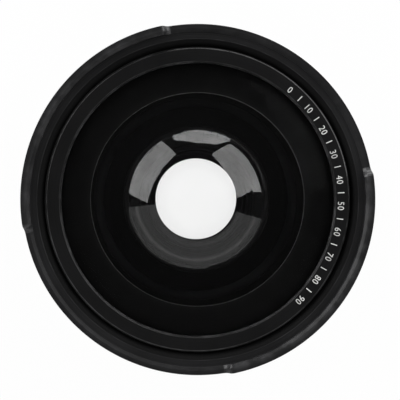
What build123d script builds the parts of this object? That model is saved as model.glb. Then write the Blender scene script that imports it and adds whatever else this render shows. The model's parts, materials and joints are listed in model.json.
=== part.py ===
"""A 0.35x fisheye converter lens with a screw-off macro section, in millimetres.

The optical axis is Z. The lens stands on the end face of its rear thread at Z = 0
and looks up along +Z, so the big front glass and the petal hood are at the top.
Heights are worked out from the rear thread upwards, each piece from what it sits on.
"""
import os
from math import cos, radians, sin, sqrt

from build123d import *

os.makedirs("parts", exist_ok=True)

# Fits and small edges shared by the whole lens
slip_fit = 0.05            # radial clearance of a screwed or slid joint
glass_fit = 0.1            # radial clearance round a glass edge
seat_relief = 0.2          # axial gap behind a face that does not carry
edge_break = 0.4           # bevel on the turned outer edges
cut_overrun = 1.0          # how far a cutter runs past what it cuts
edge_reach = 0.2           # an edge is looked for within this distance of its place

# Rear thread and macro barrel
rear_thread_radius = 29.0          # M58 x 0.75 male filter thread
rear_thread_length = 4.0
thread_wall = 2.8
thread_relief_length = 0.8
thread_relief_depth = 0.6
seat_undercut = 0.3                # the relief runs this deep into the seat face
macro_ring_stand = 3.0             # how far the grip ring stands out from the thread
macro_ring_length = 9.2
macro_spigot_step = 0.5            # the front spigot is this much smaller in radius
macro_spigot_length = 4.0
macro_mouth_wall = 2.9
macro_lip_thickness = 0.55
macro_lip_cone = 1.0
flute_count = 60
flute_radius = 0.75
flute_depth = 0.35
flute_margin = 1.6                 # plain ends of the grip ring beside the flutes

# Macro doublet
macro_ring_thread_depth = 1.2      # from the glass edge out to the retaining thread
lens_land = 1.0                    # flat ring ground at the edge of a lens face
crown_curve_share = 3.0            # radii of the faces, as shares of the glass radius
cement_curve_share = 3.0
flint_curve_share = 10.0
crown_edge_thickness = 1.37
cement_gap = 0.05
flint_thickness = 2.0
macro_seat_drop = 1.44             # crown's land below the shoulder of the grip ring
macro_seal_thickness = 0.3
macro_retainer_thickness = 3.0
macro_stop_inset = 4.2             # clear opening inside the land, at the rear of the lens
macro_retainer_slope = 0.8         # how far the front cone drops towards the opening
macro_retainer_throat = 1.0        # straight part of the opening
macro_retainer_bevel = 2.2         # rear bevel of the opening
slot_count = 2                     # spanner slots in each retaining ring
slot_width = 1.8
slot_depth = 1.2
slot_length = 2.6

# Coupling between the two sections
gasket_thickness = 0.6
gasket_inset = 0.4                 # gasket edge back from the grip ring's edge
gasket_bore_fit = 0.15

# Main barrel
barrel_neck_step = 1.2             # neck stands out from the macro grip ring
barrel_neck_length = 2.9
coupling_depth = 4.6
ledge_thickness = 1.3
ledge_inset = 1.05
ledge_width = 3.6
cell_bore_length = 9.7
flare_bend = 5.0                   # length of the straight pull at each end of the flare
drum_step = 1.8                    # drum stands out from the hood seat
drum_lip = 0.6
drum_land_length = 1.8
grip_groove_length = 7.0
grip_groove_depth = 2.0
drum_front_land = 1.0
hood_seat_wall = 3.2
hood_seat_length = 2.6
name_thread_depth = 1.6

# Front glass
front_glass_radius = 38.0
front_curve_share = 2.3158         # radius of the front face, as a share of the glass radius
front_centre_thickness = 2.994
front_flat_width = 10.5            # flat ring round the hollow
hollow_curve_share = 1.3527        # radius of the hollow, as a share of its rim
front_glass_bevel = 0.5
front_seal_thickness = 0.4
front_seal_width = 2.4
front_seal_inset = 0.1

# Baffle spacer between the barrel ledge and the front glass
spacer_height = 4.65
spacer_mouth_gap = 1.1             # baffle mouth outside the glass's rear opening
tooth_count = 4
tooth_depth = 1.1
tooth_spread = 0.5                 # each tooth stands this much further out than the last

# Second lens and its cell
second_glass_radius = 19.0
second_front_land_width = 1.5
second_rear_land_width = 2.0
second_front_curve_share = 6.286   # radii of the faces, as shares of their rims
second_rear_curve_share = 1.882
second_centre_thickness = 2.0
shim_thickness = 0.3
cell_flange_thickness = 2.2
cell_flange_fit = 0.1
cell_hub_wall = 3.4
cell_lip_thickness = 0.8
cell_drop = 1.39                   # lens seat below the shim's lower face
cell_lip_inset = 0.2
stop_thickness = 0.3
stop_inset = 0.6
retainer_wall = 1.5
retainer_thickness = 1.6
retainer_cone = 0.4                # its opening widens this much towards the front
cell_crown = 0.1                   # cell stands this much proud of its retainer

# Name ring
name_ring_overlap = 1.8            # how far it reaches in over the glass
glass_stand = 1.0                  # edge of the glass above the barrel's end
name_skirt_wall = 1.65
name_ring_lip = 2.3                # height of its inner edge above the glass
name_ring_bevel = 0.45
name_edge_width = 0.35             # bevel round the outer edge of its face
name_edge_depth = 0.25
name_flange_step = 0.35            # flange stands out from the threaded skirt
name_skirt_length = 1.4
name_skirt_gap = 0.3               # skirt stands clear of the glass edge
name_glass_gap = 0.05

# Petal hood
hood_height = 7.6                  # from the drum to the low rim
hood_web_gap = 0.1                 # the web stays this much off the barrel's end
throat_gap = 0.45                  # open groove between the hood and the name ring
rim_width = 2.1                    # of the low rim; the petals lean out from it
shelf_width = 1.75
rim_bevel_width = 0.9
rim_bevel_depth = 0.6
shelf_depth = 0.8
cove_width = 1.8
throat_length = 1.1                # straight groove wall below the cove
cove_bulge = 0.55
petal_height = 1.6
petal_lean = 0.35                  # top of a petal stands this much outside the low rim
lean_drop = 0.5                    # the lean starts this far below the low rim
petal_ramp = 1.1                   # slope at each end of a petal, before its fillets
full_turn = 360.0
petal_spans = ((100.1, 190.2), (279.5, 369.9))    # angles at which each petal starts and ends
petal_root_fillet = 2.0
petal_tip_fillet = 1.4

# Grip band
band_skin = 2.3
rib_count = 60
rib_height = 0.9
rib_width = 2.6
band_end_fit = 0.1
rib_margin = 0.7

# Grub screws
screw_radius = 1.0
screw_hole_fit = 0.05
screw_length = 2.6
socket_radius = 0.5
socket_depth = 1.1
screw_angles = (25.0, 145.0, 265.0)


def sag(curve, distance):
    """Fall of a ball of this radius at this distance from the axis."""
    return curve - sqrt(curve**2 - distance**2)


def section_plane(angle, height):
    """Upright plane through the axis at this angle, its X pointing outwards."""
    return Plane(
        origin=(0, 0, height),
        x_dir=(cos(radians(angle)), sin(radians(angle)), 0),
        z_dir=(sin(radians(angle)), -cos(radians(angle)), 0),
    )


def side_plane(angle, height, distance):
    """Plane facing outwards at this angle, this far from the axis."""
    outwards = (cos(radians(angle)), sin(radians(angle)), 0)
    return Plane(origin=(0, 0, height), x_dir=(0, 0, 1), z_dir=outwards).offset(distance)


# Heights, from the rear thread to the seat of the front glass
seat_height = rear_thread_length + thread_relief_length
shoulder_height = seat_height + macro_ring_length
spigot_top = shoulder_height + macro_spigot_length
barrel_base = shoulder_height + gasket_thickness
neck_top = barrel_base + barrel_neck_length
ledge_height = barrel_base + coupling_depth + ledge_thickness
glass_ledge = ledge_height + cell_bore_length
seal_base = glass_ledge + spacer_height
glass_seat = seal_base + front_seal_thickness

# Front glass: its hollow, its front face and the edge that the barrel's end follows
front_rear_opening = front_glass_radius - front_flat_width
front_rear_curve = front_rear_opening * hollow_curve_share
front_curve = front_glass_radius * front_curve_share
front_rear_vertex = glass_seat + sag(front_rear_curve, front_rear_opening)
front_vertex = front_rear_vertex + front_centre_thickness
front_face_radius = front_glass_radius - front_glass_bevel
front_face_edge = front_vertex - sag(front_curve, front_face_radius)

# Heights of the drum, from the glass edge down, and of the hood
barrel_top = front_face_edge - glass_stand
drum_top = barrel_top - hood_seat_length
groove_top = drum_top - drum_front_land
groove_base = groove_top - grip_groove_length
flare_top = groove_base - drum_land_length
low_rim_height = drum_top + hood_height
petal_top = low_rim_height + petal_height

# Radii of the macro section
macro_ring_radius = rear_thread_radius + macro_ring_stand
macro_bore_radius = rear_thread_radius - thread_wall
macro_spigot_radius = rear_thread_radius - macro_spigot_step
macro_glass_radius = macro_bore_radius - macro_ring_thread_depth
macro_land_radius = macro_glass_radius - lens_land
macro_stop_radius = macro_land_radius - macro_stop_inset

# Macro doublet heights
crown_front_curve = macro_glass_radius * crown_curve_share
cement_curve = macro_glass_radius * cement_curve_share
flint_rear_curve = macro_glass_radius * flint_curve_share
macro_seat_height = shoulder_height - macro_seat_drop
crown_vertex = macro_seat_height + sag(crown_front_curve, macro_land_radius)
cement_edge = macro_seat_height - crown_edge_thickness
cement_vertex = cement_edge - sag(cement_curve, macro_glass_radius)
flint_vertex = cement_vertex - cement_gap - flint_thickness
flint_land = flint_vertex + sag(flint_rear_curve, macro_land_radius)

# Crown of the macro doublet: a biconvex lens with a flat land at its front edge
with BuildPart() as macro_crown_element:
    with BuildSketch(Plane.XZ):
        with BuildLine():
            ThreePointArc(
                (0, crown_vertex),
                (macro_land_radius / 2, crown_vertex - sag(crown_front_curve, macro_land_radius / 2)),
                (macro_land_radius, macro_seat_height),
            )
            Line((macro_land_radius, macro_seat_height), (macro_glass_radius, macro_seat_height))
            Line((macro_glass_radius, macro_seat_height), (macro_glass_radius, cement_edge))
            ThreePointArc(
                (macro_glass_radius, cement_edge),
                (macro_glass_radius / 2, cement_vertex + sag(cement_curve, macro_glass_radius / 2)),
                (0, cement_vertex),
            )
            Line((0, cement_vertex), (0, crown_vertex))
        make_face()
    revolve(axis=Axis.Z)
macro_crown_element.part.label = "macro_crown_element"
export_step(macro_crown_element.part, "parts/macro_crown_element.step")

# Flint of the macro doublet: its front follows the crown, its rear is nearly flat
with BuildPart() as macro_flint_element:
    with BuildSketch(Plane.XZ):
        with BuildLine():
            ThreePointArc(
                (0, cement_vertex - cement_gap),
                (
                    macro_glass_radius / 2,
                    cement_vertex - cement_gap + sag(cement_curve, macro_glass_radius / 2),
                ),
                (macro_glass_radius, cement_edge - cement_gap),
            )
            Line((macro_glass_radius, cement_edge - cement_gap), (macro_glass_radius, flint_land))
            Line((macro_glass_radius, flint_land), (macro_land_radius, flint_land))
            ThreePointArc(
                (macro_land_radius, flint_land),
                (macro_land_radius / 2, flint_vertex + sag(flint_rear_curve, macro_land_radius / 2)),
                (0, flint_vertex),
            )
            Line((0, flint_vertex), (0, cement_vertex - cement_gap))
        make_face()
    revolve(axis=Axis.Z)
macro_flint_element.part.label = "macro_flint_element"
export_step(macro_flint_element.part, "parts/macro_flint_element.step")

# Thin seal between the crown's land and the lip of the macro barrel
with BuildPart() as macro_element_seal:
    with BuildSketch(Plane.XY.offset(macro_seat_height)):
        Circle(macro_glass_radius)
        Circle(macro_land_radius, mode=Mode.SUBTRACT)
    extrude(amount=macro_seal_thickness)
macro_element_seal.part.label = "macro_element_seal"
export_step(macro_element_seal.part, "parts/macro_element_seal.step")

# Macro barrel: rear thread, fluted grip ring, lens pocket and front spigot
macro_lip_base = macro_seat_height + macro_seal_thickness
macro_lip_top = macro_lip_base + macro_lip_thickness
macro_pocket_radius = macro_glass_radius + glass_fit
macro_pocket_base = flint_land + seat_relief
macro_mouth_radius = macro_spigot_radius - macro_mouth_wall
relief_radius = rear_thread_radius - thread_relief_depth
with BuildPart() as macro_barrel:
    with BuildSketch(Plane.XZ):
        with BuildLine():
            Polyline(
                (macro_bore_radius, 0),
                (rear_thread_radius - edge_break, 0),
                (rear_thread_radius, edge_break),
                (rear_thread_radius, rear_thread_length),
                (relief_radius, rear_thread_length),
                (relief_radius, seat_height + seat_undercut),
                (rear_thread_radius + slip_fit, seat_height + seat_undercut),
                (rear_thread_radius + slip_fit, seat_height),
                (macro_ring_radius - edge_break, seat_height),
                (macro_ring_radius, seat_height + edge_break),
                (macro_ring_radius, shoulder_height - edge_break),
                (macro_ring_radius - edge_break, shoulder_height),
                (macro_spigot_radius, shoulder_height),
                (macro_spigot_radius, spigot_top - edge_break),
                (macro_spigot_radius - edge_break, spigot_top),
                (macro_mouth_radius, spigot_top),
                (macro_mouth_radius, macro_lip_top + macro_lip_cone),
                (macro_land_radius, macro_lip_top),
                (macro_land_radius, macro_lip_base),
                (macro_pocket_radius, macro_lip_base),
                (macro_pocket_radius, macro_pocket_base),
                (macro_bore_radius, macro_pocket_base),
                close=True,
            )
        make_face()
    revolve(axis=Axis.Z)
    with BuildSketch(Plane.XY.offset(seat_height + flute_margin)):
        with PolarLocations(macro_ring_radius + flute_radius - flute_depth, flute_count):
            Circle(flute_radius)
    extrude(amount=macro_ring_length - flute_margin - flute_margin, mode=Mode.SUBTRACT)
macro_barrel.part.label = "macro_barrel"
export_step(macro_barrel.part, "parts/macro_barrel.step")

# Retaining ring of the macro doublet: coned inside, with two spanner slots behind
macro_retainer_top = flint_land
macro_retainer_base = macro_retainer_top - macro_retainer_thickness
macro_throat_top = macro_retainer_top - macro_retainer_slope
macro_retainer_outer = macro_bore_radius - slip_fit
with BuildPart() as macro_retaining_ring:
    with BuildSketch(Plane.XZ):
        with BuildLine():
            Polyline(
                (macro_stop_radius, macro_throat_top),
                (macro_stop_radius, macro_throat_top - macro_retainer_throat),
                (macro_stop_radius + macro_retainer_bevel, macro_retainer_base),
                (macro_retainer_outer, macro_retainer_base),
                (macro_retainer_outer, macro_retainer_top),
                (macro_land_radius, macro_retainer_top),
                close=True,
            )
        make_face()
    revolve(axis=Axis.Z)
    with BuildSketch(Plane.XY.offset(macro_retainer_base)):
        with PolarLocations(macro_retainer_outer, slot_count):
            Rectangle(slot_length + slot_length, slot_width)
    extrude(amount=slot_depth, mode=Mode.SUBTRACT)
macro_retaining_ring.part.label = "macro_retaining_ring"
export_step(macro_retaining_ring.part, "parts/macro_retaining_ring.step")

# Flat gasket round the spigot, squeezed between the two sections
with BuildPart() as coupling_gasket:
    with BuildSketch(Plane.XY.offset(shoulder_height)):
        Circle(macro_ring_radius - gasket_inset)
        Circle(macro_spigot_radius + gasket_bore_fit, mode=Mode.SUBTRACT)
    extrude(amount=gasket_thickness)
coupling_gasket.part.label = "coupling_gasket"
export_step(coupling_gasket.part, "parts/coupling_gasket.step")

# Main barrel: neck, flare, drum with the groove for the grip band, and hood seat
coupling_radius = macro_spigot_radius + slip_fit
ledge_radius = coupling_radius - ledge_inset
cell_bore_radius = ledge_radius + ledge_width
neck_radius = macro_ring_radius + barrel_neck_step
glass_pocket_radius = front_glass_radius + glass_fit
name_skirt_inner = front_glass_radius + name_skirt_gap
name_skirt_radius = name_skirt_inner + name_skirt_wall
name_bore_radius = name_skirt_radius + slip_fit
hood_seat_radius = name_bore_radius + hood_seat_wall
drum_radius = hood_seat_radius + drum_step
groove_radius = drum_radius - grip_groove_depth
screw_hole_radius = screw_radius + screw_hole_fit
cell_screw_height = ledge_height + shim_thickness + cell_flange_thickness / 2
with BuildPart() as main_barrel:
    with BuildSketch(Plane.XZ):
        with BuildLine():
            Polyline(
                (coupling_radius, barrel_base),
                (neck_radius - edge_break, barrel_base),
                (neck_radius, barrel_base + edge_break),
                (neck_radius, neck_top),
            )
            Bezier(
                (neck_radius, neck_top),
                (neck_radius, neck_top + flare_bend),
                (drum_radius, flare_top - flare_bend),
                (drum_radius, flare_top),
            )
            Polyline(
                (drum_radius, flare_top),
                (drum_radius + drum_lip, flare_top + drum_lip),
                (drum_radius + drum_lip, groove_base),
                (groove_radius, groove_base),
                (groove_radius, groove_top),
                (drum_radius + drum_lip, groove_top),
                (drum_radius + drum_lip, drum_top),
                (hood_seat_radius, drum_top),
                (hood_seat_radius, barrel_top - edge_break),
                (hood_seat_radius - edge_break, barrel_top),
                (name_bore_radius, barrel_top),
                (name_bore_radius, barrel_top - name_thread_depth),
                (glass_pocket_radius, barrel_top - name_thread_depth),
                (glass_pocket_radius, glass_ledge),
                (cell_bore_radius, glass_ledge),
                (cell_bore_radius, ledge_height),
                (ledge_radius, ledge_height),
                (ledge_radius, ledge_height - ledge_thickness),
                (coupling_radius, ledge_height - ledge_thickness),
                (coupling_radius, barrel_base),
            )
        make_face()
    revolve(axis=Axis.Z)
    for angle in screw_angles:
        with BuildSketch(side_plane(angle, cell_screw_height, 0)):
            Circle(screw_hole_radius)
        extrude(amount=drum_radius, mode=Mode.SUBTRACT)
main_barrel.part.label = "main_barrel"
export_step(main_barrel.part, "parts/main_barrel.step")

# Rubber grip band with straight ribs, in the groove of the drum
band_radius = groove_radius + band_skin
with BuildPart() as grip_band:
    with BuildSketch(Plane.XY.offset(groove_base + band_end_fit)):
        Circle(band_radius)
        Circle(groove_radius + slip_fit, mode=Mode.SUBTRACT)
    extrude(amount=grip_groove_length - band_end_fit - band_end_fit)
    with BuildSketch(Plane.XY.offset(groove_base + rib_margin)):
        with PolarLocations(band_radius, rib_count):
            Rectangle(rib_height + rib_height, rib_width)
    extrude(amount=grip_groove_length - rib_margin - rib_margin)
grip_band.part.label = "grip_band"
export_step(grip_band.part, "parts/grip_band.step")

# Shim under the cell's flange, which sets the air space between the lenses
cell_flange_radius = cell_bore_radius - cell_flange_fit
with BuildPart() as cell_shim:
    with BuildSketch(Plane.XY.offset(ledge_height)):
        Circle(cell_flange_radius)
        Circle(ledge_radius, mode=Mode.SUBTRACT)
    extrude(amount=shim_thickness)
cell_shim.part.label = "cell_shim"
export_step(cell_shim.part, "parts/cell_shim.step")

# Second lens: biconcave, with flat lands at both edges
second_front_opening = second_glass_radius - second_front_land_width
second_rear_opening = second_glass_radius - second_rear_land_width
second_front_curve = second_front_opening * second_front_curve_share
second_rear_curve = second_rear_opening * second_rear_curve_share
second_seat = ledge_height - cell_drop
second_rear_vertex = second_seat + sag(second_rear_curve, second_rear_opening)
second_front_vertex = second_rear_vertex + second_centre_thickness
second_front_land = second_front_vertex + sag(second_front_curve, second_front_opening)
with BuildPart() as second_element:
    with BuildSketch(Plane.XZ):
        with BuildLine():
            ThreePointArc(
                (0, second_front_vertex),
                (
                    second_front_opening / 2,
                    second_front_vertex + sag(second_front_curve, second_front_opening / 2),
                ),
                (second_front_opening, second_front_land),
            )
            Polyline(
                (second_front_opening, second_front_land),
                (second_glass_radius, second_front_land),
                (second_glass_radius, second_seat),
                (second_rear_opening, second_seat),
            )
            ThreePointArc(
                (second_rear_opening, second_seat),
                (
                    second_rear_opening / 2,
                    second_rear_vertex - sag(second_rear_curve, second_rear_opening / 2),
                ),
                (0, second_rear_vertex),
            )
            Line((0, second_rear_vertex), (0, second_front_vertex))
        make_face()
    revolve(axis=Axis.Z)
second_element.part.label = "second_element"
export_step(second_element.part, "parts/second_element.step")

# Light stop on the front land of the second lens
cell_pocket_radius = second_glass_radius + glass_fit
retainer_radius = cell_pocket_radius + retainer_wall
stop_top = second_front_land + stop_thickness
with BuildPart() as flare_stop:
    with BuildSketch(Plane.XY.offset(second_front_land)):
        Circle(retainer_radius - slip_fit)
        Circle(second_front_opening - stop_inset, mode=Mode.SUBTRACT)
    extrude(amount=stop_thickness)
flare_stop.part.label = "flare_stop"
export_step(flare_stop.part, "parts/flare_stop.step")

# Retaining ring of the second lens, coned inside and slotted for a spanner
retainer_top = stop_top + retainer_thickness
with BuildPart() as second_element_retainer:
    with BuildSketch(Plane.XZ):
        with BuildLine():
            Polyline(
                (second_front_opening, stop_top),
                (retainer_radius - slip_fit, stop_top),
                (retainer_radius - slip_fit, retainer_top),
                (second_front_opening + retainer_cone, retainer_top),
                close=True,
            )
        make_face()
    revolve(axis=Axis.Z)
    with BuildSketch(Plane.XY.offset(retainer_top)):
        with PolarLocations(retainer_radius, slot_count):
            Rectangle(slot_length + slot_length, slot_width)
    extrude(amount=-retainer_thickness / 2, mode=Mode.SUBTRACT)
second_element_retainer.part.label = "second_element_retainer"
export_step(second_element_retainer.part, "parts/second_element_retainer.step")

# Cell of the second lens: a tube with a lip behind the glass and a flange on the shim
cell_hub_radius = cell_pocket_radius + cell_hub_wall
cell_base = second_seat - cell_lip_thickness
cell_top = retainer_top + cell_crown
flange_base = ledge_height + shim_thickness
flange_top = flange_base + cell_flange_thickness
with BuildPart() as second_element_cell:
    with BuildSketch(Plane.XZ):
        with BuildLine():
            Polyline(
                (second_rear_opening + cell_lip_inset, cell_base),
                (cell_hub_radius - edge_break, cell_base),
                (cell_hub_radius, cell_base + edge_break),
                (cell_hub_radius, flange_base),
                (cell_flange_radius, flange_base),
                (cell_flange_radius, flange_top),
                (cell_hub_radius, flange_top),
                (cell_hub_radius, cell_top - edge_break),
                (cell_hub_radius - edge_break, cell_top),
                (retainer_radius, cell_top),
                (retainer_radius, second_front_land),
                (cell_pocket_radius, second_front_land),
                (cell_pocket_radius, second_seat),
                (second_rear_opening + cell_lip_inset, second_seat),
                close=True,
            )
        make_face()
    revolve(axis=Axis.Z)
second_element_cell.part.label = "second_element_cell"
export_step(second_element_cell.part, "parts/second_element_cell.step")

# Front glass: a deep meniscus with a ground edge and a flat ring behind
with BuildPart() as front_element:
    with BuildSketch(Plane.XZ):
        with BuildLine():
            ThreePointArc(
                (0, front_vertex),
                (front_face_radius / 2, front_vertex - sag(front_curve, front_face_radius / 2)),
                (front_face_radius, front_face_edge),
            )
            Polyline(
                (front_face_radius, front_face_edge),
                (front_glass_radius, front_face_edge - front_glass_bevel),
                (front_glass_radius, glass_seat),
                (front_rear_opening, glass_seat),
            )
            ThreePointArc(
                (front_rear_opening, glass_seat),
                (
                    front_rear_opening / 2,
                    front_rear_vertex - sag(front_rear_curve, front_rear_opening / 2),
                ),
                (0, front_rear_vertex),
            )
            Line((0, front_rear_vertex), (0, front_vertex))
        make_face()
    revolve(axis=Axis.Z)
front_element.part.label = "front_element"
export_step(front_element.part, "parts/front_element.step")

# Seal behind the front glass
front_seal_outer = front_glass_radius - front_seal_inset
with BuildPart() as front_element_seal:
    with BuildSketch(Plane.XY.offset(seal_base)):
        Circle(front_seal_outer)
        Circle(front_seal_outer - front_seal_width, mode=Mode.SUBTRACT)
    extrude(amount=front_seal_thickness)
front_element_seal.part.label = "front_element_seal"
export_step(front_element_seal.part, "parts/front_element_seal.step")

# Baffle spacer: a ring whose inner wall is cut into light-trapping teeth
tooth_pitch = spacer_height / tooth_count
spacer_outer = glass_pocket_radius - slip_fit
spacer_mouth = front_rear_opening + spacer_mouth_gap
with BuildPart() as element_spacer:
    with BuildSketch(Plane.XZ):
        with BuildLine():
            teeth = []
            for tooth in range(tooth_count):
                tip_radius = spacer_mouth + tooth * tooth_spread
                tip_height = seal_base - tooth * tooth_pitch
                teeth.append((tip_radius, tip_height))
                teeth.append((tip_radius + tooth_depth, tip_height - tooth_pitch))
            Polyline(
                (spacer_outer, seal_base),
                *teeth,
                (spacer_outer, glass_ledge),
                close=True,
            )
        make_face()
    revolve(axis=Axis.Z)
element_spacer.part.label = "element_spacer"
export_step(element_spacer.part, "parts/element_spacer.step")

# Name ring: screwed into the barrel over the edge of the front glass
name_ring_inner = front_glass_radius - name_ring_overlap
name_ring_outer = name_skirt_radius + name_flange_step
name_inner_base = front_vertex - sag(front_curve, name_ring_inner) + name_glass_gap
name_ring_top = name_inner_base + name_ring_lip
name_skirt_top = front_vertex - sag(front_curve, name_skirt_inner) + name_glass_gap
name_flange_base = barrel_top + seat_relief
with BuildPart() as name_ring:
    with BuildSketch(Plane.XZ):
        with BuildLine():
            Polyline(
                (name_ring_inner, name_inner_base),
                (name_ring_inner, name_ring_top - name_ring_bevel),
                (name_ring_inner + name_ring_bevel, name_ring_top),
                (name_ring_outer - name_edge_width, name_ring_top),
                (name_ring_outer, name_ring_top - name_edge_depth),
                (name_ring_outer, name_flange_base),
                (name_skirt_radius, name_flange_base),
                (name_skirt_radius, barrel_top - name_skirt_length),
                (name_skirt_inner, barrel_top - name_skirt_length),
                (name_skirt_inner, name_skirt_top),
                close=True,
            )
        make_face()
    revolve(axis=Axis.Z)
name_ring.part.label = "name_ring"
export_step(name_ring.part, "parts/name_ring.step")

# Petal hood: skirt, web, coved shelf and a rim that is cut down between its two petals
hood_bore_radius = hood_seat_radius + slip_fit
hood_throat_radius = name_ring_outer + throat_gap
shelf_inner_radius = hood_throat_radius + cove_width
rim_inner_radius = shelf_inner_radius + shelf_width
hood_radius = rim_inner_radius + rim_width
hood_wall_radius = hood_radius - petal_lean * lean_drop / petal_height
shelf_height = low_rim_height - shelf_depth
web_base = barrel_top + hood_web_gap
cove_base = web_base + throat_length
hood_screw_height = drum_top + hood_seat_length / 2
with BuildPart() as petal_hood:
    with BuildSketch(section_plane(sum(petal_spans[0]) / 2, 0)):
        with BuildLine():
            Polyline(
                (shelf_inner_radius, shelf_height),
                (rim_inner_radius, shelf_height),
                (rim_inner_radius, petal_top),
                (hood_radius + petal_lean, petal_top),
                (hood_wall_radius, low_rim_height - lean_drop),
                (hood_wall_radius, drum_top + edge_break),
                (hood_wall_radius - edge_break, drum_top),
                (hood_bore_radius, drum_top),
                (hood_bore_radius, web_base),
                (hood_throat_radius, web_base),
                (hood_throat_radius, cove_base),
            )
            SagittaArc(
                (hood_throat_radius, cove_base),
                (shelf_inner_radius, shelf_height),
                cove_bulge,
            )
        make_face()
    revolve(axis=Axis.Z)
    for petal, (petal_start, petal_end) in enumerate(petal_spans):
        last_end = petal_spans[petal - 1][1]
        with BuildSketch(section_plane(petal_start, low_rim_height)):
            with Locations((rim_inner_radius - cut_overrun, 0)):
                Rectangle(
                    rim_width + petal_lean + cut_overrun + cut_overrun,
                    petal_height + cut_overrun,
                    align=(Align.MIN, Align.MIN),
                )
        revolve(axis=Axis.Z, revolution_arc=-((petal_start - last_end) % full_turn), mode=Mode.SUBTRACT)
        for foot_angle, ramp_run in ((petal_start, -petal_ramp), (petal_end, petal_ramp)):
            with BuildSketch(side_plane(foot_angle, low_rim_height, 0)):
                with BuildLine():
                    Polyline(
                        (0, 0),
                        (petal_height * 2, ramp_run * 2),
                        (petal_height * 2, 0),
                        close=True,
                    )
                make_face()
            extrude(amount=hood_radius + cut_overrun, mode=Mode.SUBTRACT)
    root_edges = petal_hood.edges().filter_by(GeomType.LINE).filter_by(Plane.XY).group_by(Axis.Z)[-2]
    fillet(root_edges, radius=petal_root_fillet)
    tip_edges = petal_hood.edges().filter_by(GeomType.LINE).filter_by(Plane.XY).group_by(Axis.Z)[-1]
    fillet(tip_edges, radius=petal_tip_fillet)
    mouth_edges = petal_hood.edges().filter_by(
        lambda edge: min(edge.position_at(0).Z, edge.position_at(1).Z) > low_rim_height - edge_reach
        and abs(Vector(edge.position_at(0).X, edge.position_at(0).Y).length - rim_inner_radius) < edge_reach
        and abs(Vector(edge.position_at(1).X, edge.position_at(1).Y).length - rim_inner_radius) < edge_reach
    )
    mouth_wall = petal_hood.faces().filter_by(
        lambda face: face.geom_type == GeomType.CYLINDER
        and abs(face.radius - rim_inner_radius) < edge_reach
    )[0]
    chamfer(mouth_edges, length=rim_bevel_depth, length2=rim_bevel_width, reference=mouth_wall)
    for angle in screw_angles:
        with BuildSketch(side_plane(angle, hood_screw_height, 0)):
            Circle(screw_hole_radius)
        extrude(amount=hood_radius + cut_overrun, mode=Mode.SUBTRACT)
petal_hood.part.label = "petal_hood"
export_step(petal_hood.part, "parts/petal_hood.step")

# Grub screws: three through the hood's skirt, three through the barrel onto the cell
with BuildPart() as hood_set_screws:
    for angle in screw_angles:
        with BuildSketch(side_plane(angle, hood_screw_height, hood_bore_radius)):
            Circle(screw_radius)
        extrude(amount=screw_length)
        with BuildSketch(side_plane(angle, hood_screw_height, hood_bore_radius + screw_length)):
            RegularPolygon(socket_radius, side_count=6)
        extrude(amount=-socket_depth, mode=Mode.SUBTRACT)
hood_set_screws.part.label = "hood_set_screws"
export_step(hood_set_screws.part, "parts/hood_set_screws.step")

cell_screw_foot = cell_flange_radius + slip_fit
with BuildPart() as cell_lock_screws:
    for angle in screw_angles:
        with BuildSketch(side_plane(angle, cell_screw_height, cell_screw_foot)):
            Circle(screw_radius)
        extrude(amount=screw_length)
        with BuildSketch(side_plane(angle, cell_screw_height, cell_screw_foot + screw_length)):
            RegularPolygon(socket_radius, side_count=6)
        extrude(amount=-socket_depth, mode=Mode.SUBTRACT)
cell_lock_screws.part.label = "cell_lock_screws"
export_step(cell_lock_screws.part, "parts/cell_lock_screws.step")
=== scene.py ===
"""Looks of a fisheye converter lens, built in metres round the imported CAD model.

Every turned part is an outline carried round the Z axis on a numpy grid. Outlines are
closed, in millimetres, as (distance from the axis, height above the rear thread's end).
"""

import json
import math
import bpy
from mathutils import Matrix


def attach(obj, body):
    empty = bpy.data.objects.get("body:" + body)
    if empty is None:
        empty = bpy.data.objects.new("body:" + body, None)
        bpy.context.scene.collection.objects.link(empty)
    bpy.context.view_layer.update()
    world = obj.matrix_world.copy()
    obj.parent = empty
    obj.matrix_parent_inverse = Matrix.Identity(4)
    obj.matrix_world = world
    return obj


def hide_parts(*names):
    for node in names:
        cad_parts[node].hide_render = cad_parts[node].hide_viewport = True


bl_info = {
    "name": "Fisheye Converter Lens",
    "version": (1, 0, 0),
    "blender": (4, 5, 0),
    "location": "3D View > Sidebar > Lens",
    "description": "Builds the turned parts, glasses and studio of a fisheye converter lens",
    "category": "Add Mesh",
}

import bmesh
import bpy
import numpy as np
from bpy.props import FloatProperty, FloatVectorProperty, IntProperty, PointerProperty
from mathutils import Matrix, Vector

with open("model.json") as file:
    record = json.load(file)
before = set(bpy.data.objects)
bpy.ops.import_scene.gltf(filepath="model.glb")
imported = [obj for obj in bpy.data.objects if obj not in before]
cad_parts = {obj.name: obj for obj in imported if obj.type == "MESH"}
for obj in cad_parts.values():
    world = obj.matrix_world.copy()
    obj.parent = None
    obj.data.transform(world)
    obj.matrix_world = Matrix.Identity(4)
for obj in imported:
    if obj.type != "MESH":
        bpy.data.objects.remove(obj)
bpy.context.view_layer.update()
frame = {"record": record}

MM = 0.001
TURN = 2 * math.pi
SHARP_EDGE = math.radians(34)
BODY_OF = {n: b for b, nodes in frame["record"]["behaviour"]["bodies"].items() for n in nodes}


# Sizes and finishes that a user may change


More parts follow.
